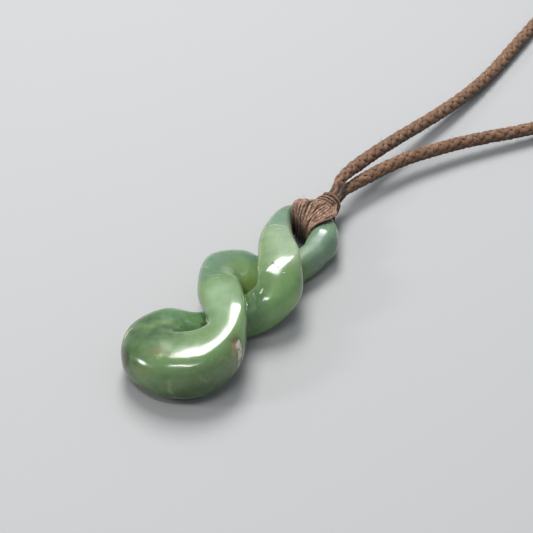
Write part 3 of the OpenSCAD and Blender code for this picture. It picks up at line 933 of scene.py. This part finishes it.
# Where the thread rubs the stone dull, and where the wheel can't reach: from, to, reach, softness.
UNDER_THE_THREAD = ((5.0, 8.0, 5.0), (5.3, 13.2, 5.1), 4.7, 0.7)
GROOVE_BESIDE_THE_STRAND = ((3.0, -5.2, 6.6), (4.7, -7.5, 6.0), 0.9, 0.7)
# How strongly clouds, wisps, mottle, flecks and fibres show.
CLOUDS_SHOW, WISPS_SHOW, MOTTLE_SHOW, FLECKS_SHOW = 0.34, 0.13, 0.12, 0.35
FIBRES_FROM_TO, FIBRE_SHADES = (0.3, 0.7), (0.95, 1.05)
# How rough the polish is, and how much rougher rubbed and flawed stone is.
POLISH_ROUGHNESS = (0.12, 0.17)
RUBBED_ROUGHER = 0.34
FLAW_ROUGHER = 0.25
# The second, softer gloss grows with height above the floor, up to its most.
COAT_FROM, COAT_TO, COAT_MOST = 2.0, 7.5, 0.42
# Relief: slow waves left by the wheel, and how far flaws, cracks and mottle stand off them.
WAVE_SCALE = 0.3
FLAW_RELIEF, CRACK_RELIEF, MOTTLE_RELIEF = -0.25, -0.5, 0.02
STONE_RELIEF = 0.00006


def make_jade():
    material, tree, shader = new_material(
        "jade", Subsurface_Weight=0.9, Subsurface_Radius=(0.8, 1.0, 0.45), Subsurface_Scale=0.0028,
        IOR=1.48, Coat_Roughness=0.24)
    place = grouped(tree, PENDANT_PLACE)
    drifting, ragged, nearly_sharp = (
        grouped(tree, RAGGED_PLACE, Place=place, Size=size, Amount=amount)
        for size, amount in ((4.0, 1.8), (0.7, 0.6), (0.45, 0.24)))
    clouds, wisps, mottle = (
        grouped(tree, STONE_CLOUDS, Place=where, Size=size, Contrast=contrast)
        for where, size, contrast in (
            (drifting, 4.5, 0.4), (drifting, 2.0, 0.5), (place, 1.1, 0.3)))
    fibres = grouped(tree, STONE_FIBRES, Place=ragged, Turn=-0.52, Width=0.45, Length=7.0)
    flecks = grouped(tree, STONE_FLECKS, Place=ragged, Spacing=1.4, Size=0.16, Share=0.3)
    colour, _ = marked(tree, drifting, STONE_GREEN, STONE_TINTS)
    colour = mixed(tree, times(tree, clouds, CLOUDS_SHOW), colour, DARK_GREEN)
    colour = mixed(tree, times(tree, wisps, WISPS_SHOW), colour, PALE_GREEN)
    colour = mixed(tree, times(tree, mottle, MOTTLE_SHOW), colour, PALE_GREEN)
    lined = remap(tree, fibres, *FIBRES_FROM_TO, *FIBRE_SHADES, smooth=False)
    lined = add(tree, "ShaderNodeCombineColor", {0: lined, 1: lined, 2: lined}).outputs[0]
    colour = mixed(tree, 1.0, colour, lined, "MULTIPLY")
    colour = mixed(tree, times(tree, flecks, FLECKS_SHOW), colour, PALE_GREEN)
    colour, marks = marked(tree, ragged, colour, STONE_MARKS)
    colour, scratches = marked(tree, nearly_sharp, colour, STONE_SCRATCHES)
    tree.links.new(colour, shader.inputs["Base Color"])
    flaws = maths(tree, "MAXIMUM", marks["brown rim"], marks["cream"])
    cracks = maths(tree, "MAXIMUM", scratches["crack, left"], scratches["crack, right"])
    rubbed = maths(tree, "MAXIMUM", soft_mark(tree, drifting, *UNDER_THE_THREAD),
                   soft_mark(tree, drifting, *GROOVE_BESIDE_THE_STRAND))
    roughness = remap(tree, mottle, 0.0, 1.0, *POLISH_ROUGHNESS)
    roughness = times_plus(tree, rubbed, RUBBED_ROUGHER, roughness)
    roughness = times_plus(tree, flaws, FLAW_ROUGHER, roughness)
    tree.links.new(roughness, shader.inputs["Roughness"])
    coat = remap(tree, upright_part(tree, place), COAT_FROM, COAT_TO, 0.0, COAT_MOST)
    coat = times(tree, coat, maths(tree, "SUBTRACT", 1.0, rubbed))
    tree.links.new(coat, shader.inputs["Coat Weight"])
    relief = times_plus(tree, flaws, FLAW_RELIEF, noise(tree, place, WAVE_SCALE, 0.0)["Fac"])
    relief = times_plus(tree, cracks, CRACK_RELIEF, relief)
    relief = times_plus(tree, mottle, MOTTLE_RELIEF, relief)
    bumped(tree, shader, relief, STONE_RELIEF)
    return material


# Waxed thread
THREAD_DARK = (0.036, 0.016, 0.006)
THREAD_BROWN = (0.130, 0.057, 0.026)
PLAIT_TAN = (0.395, 0.205, 0.102)
LASHING_TAN = (0.70, 0.43, 0.290)
SHADE_BROWN = (0.016, 0.008, 0.004)
# Painted shade on the threads, inside the loop and low on the neck, in the columns of the stone's
# marks.
THREAD_PAINTED_SHADE = [
    ("inside the loop", (-2.2, 17.8, 4.8), (0.4, 17.0, 2.0), 4.2, 0.85, SHADE_BROWN, 1.0),
    ("low on the neck", (3.0, 25.0, 2.6), (2.6, 28.0, 3.2), 2.6, 0.85, SHADE_BROWN, 0.75),
]
THREAD_RELIEF = 0.00010


def make_thread(name, fibres_round, lean, tan, worn, underside_shade):
    """Waxed brown thread: worn is how much has gone tan; the last argument is how much painted
    shade darkens its underside.
    """
    material, tree, shader = new_material(name, Roughness=0.66, Sheen_Weight=0.08,
                                          Sheen_Roughness=0.4)
    place = grouped(tree, PENDANT_PLACE)
    fibre = grouped(tree, YARN_FIBRES, Fibres=fibres_round, Lean=lean, Length=1.6)
    fine = grouped(tree, YARN_FIBRES, Fibres=fibres_round * 3, Lean=lean * 1.4, Length=0.7)
    patches = noise(tree, place, 0.45)["Fac"]
    mottle = noise(tree, place, 1.7, 2.0)["Fac"]
    crest = add(tree, "ShaderNodeAttribute", {}, attribute_name="crest").outputs["Fac"]
    upward = upright_part(tree, add(tree, "ShaderNodeNewGeometry", {}).outputs["Normal"])
    # Tan where the fine fibres are worn, in patches and on the crests; more tan on the upper side
    # is painted light.
    tan_share = remap(tree, fine, 0.36, 0.62)
    for reason in (
        remap(tree, patches, 0.3, 0.65, worn * 0.5, worn),
        remap(tree, crest, 0.3, 1.0),
        remap(tree, upward, -0.2, 0.7, 1.0 - underside_shade, 1.0),
        remap(tree, mottle, 0.36, 0.58, 0.35, 1.0),
    ):
        tan_share = times(tree, tan_share, reason)
    colour = mixed(tree, remap(tree, fibre, 0.35, 0.6, 1.0, 0.0), THREAD_BROWN, THREAD_DARK)
    colour = mixed(tree, tan_share, colour, tan)
    # Painted shade on the underside of the threads.
    colour = mixed(tree, remap(tree, upward, 0.5, -0.5, 0.0, underside_shade * 0.8), colour, THREAD_DARK)
    # Painted shade in the crevices, where the crest value is low.
    colour = mixed(tree, remap(tree, crest, 0.45, 0.0), colour, THREAD_DARK)
    # Painted shade inside the loop and low on the neck.
    colour, _ = marked(tree, place, colour, THREAD_PAINTED_SHADE)
    tree.links.new(colour, shader.inputs["Base Color"])
    bumped(tree, shader, maths(tree, "ADD", fibre, times(tree, fine, 0.6)), THREAD_RELIEF)
    return material


# The pieces
jade = make_jade()
plaited_thread = make_thread("plaited_thread", 2.2, 2.0, PLAIT_TAN, 0.75, 0.9)
wound_thread = make_thread("wound_thread", 1.6, 3.0, LASHING_TAN, 1.0, 0.3)
for piece, node, slot, material in (
    (make_stone(), "jade_twist", "jade", jade),
    (make_plait("plait_left", CORD_LEFT_ROUTE, 0.4), "cord_left", "plait", plaited_thread),
    (make_plait("plait_right", CORD_RIGHT_ROUTE, 1.2), "cord_right", "plait", plaited_thread),
    (make_lashing(), "lashing", "thread", wound_thread),
    (make_back_knot(), "back_knot", "knot", wound_thread),
):
    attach(piece, "root")
    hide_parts(node)
    piece.data.materials.append(material)

# Floor and light
FLOOR_HALF = 3
FLOOR_GREY = (0.34, 0.34, 0.34, 1)
LAMP_DISTANCE = 560.0
# Name, azimuth and elevation seen from the pendant, size in metres, power in watts, shape and turn
# in its own plane. Angles are in degrees.
LAMPS = [
    ("window", (-36.5, 59.5), (0.20, 0.34), 3.9, "RECTANGLE", -26.0),
    ("strip_behind_the_camera", (176.5, 65.0), (0.26, 0.055), 1.0, "RECTANGLE", 0.0),
    ("small_lamp", (-130.0, 30.0), (0.11, 0.10), 0.8, "ELLIPSE", 0.0),
]
ROOM_COLOUR = (0.8, 0.85, 0.9, 1)
ROOM_STRENGTH = 0.5


def make_floor():
    corners = [(x * FLOOR_HALF, y * FLOOR_HALF, 0) for x, y in ((-1, -1), (1, -1), (1, 1), (-1, 1))]
    mesh = bpy.data.meshes.new("floor")
    mesh.from_pydata(corners, [], [(0, 1, 2, 3)])
    mesh.materials.append(new_material("pale_floor", Base_Color=FLOOR_GREY, Roughness=0.8)[0])
    return put_in_scene("floor", mesh)


def hang_lamp(name, angles, size, power, shape, turn_degrees):
    """A flat lamp aimed at the pendant."""
    outward = direction(*angles)
    data = bpy.data.lights.new(name, "AREA")
    data.shape = shape
    data.size, data.size_y = size
    data.energy = power
    lamp = put_in_scene(name, data)
    lamp.location = in_frame(VIEW_TARGET + outward * LAMP_DISTANCE)
    turn = Quaternion(UPWARD, math.radians(turn_degrees))
    lamp.rotation_euler = (Vector(-outward).to_track_quat("-Z", "Y") @ turn).to_euler()


floor = make_floor()
for lamp in LAMPS:
    hang_lamp(*lamp)
world = bpy.data.worlds.new("room")
scene.world = world
world.use_nodes = True
room = world.node_tree.nodes["Background"]
room.inputs["Color"].default_value = ROOM_COLOUR
room.inputs["Strength"].default_value = ROOM_STRENGTH
scene.view_settings.view_transform = "Standard"
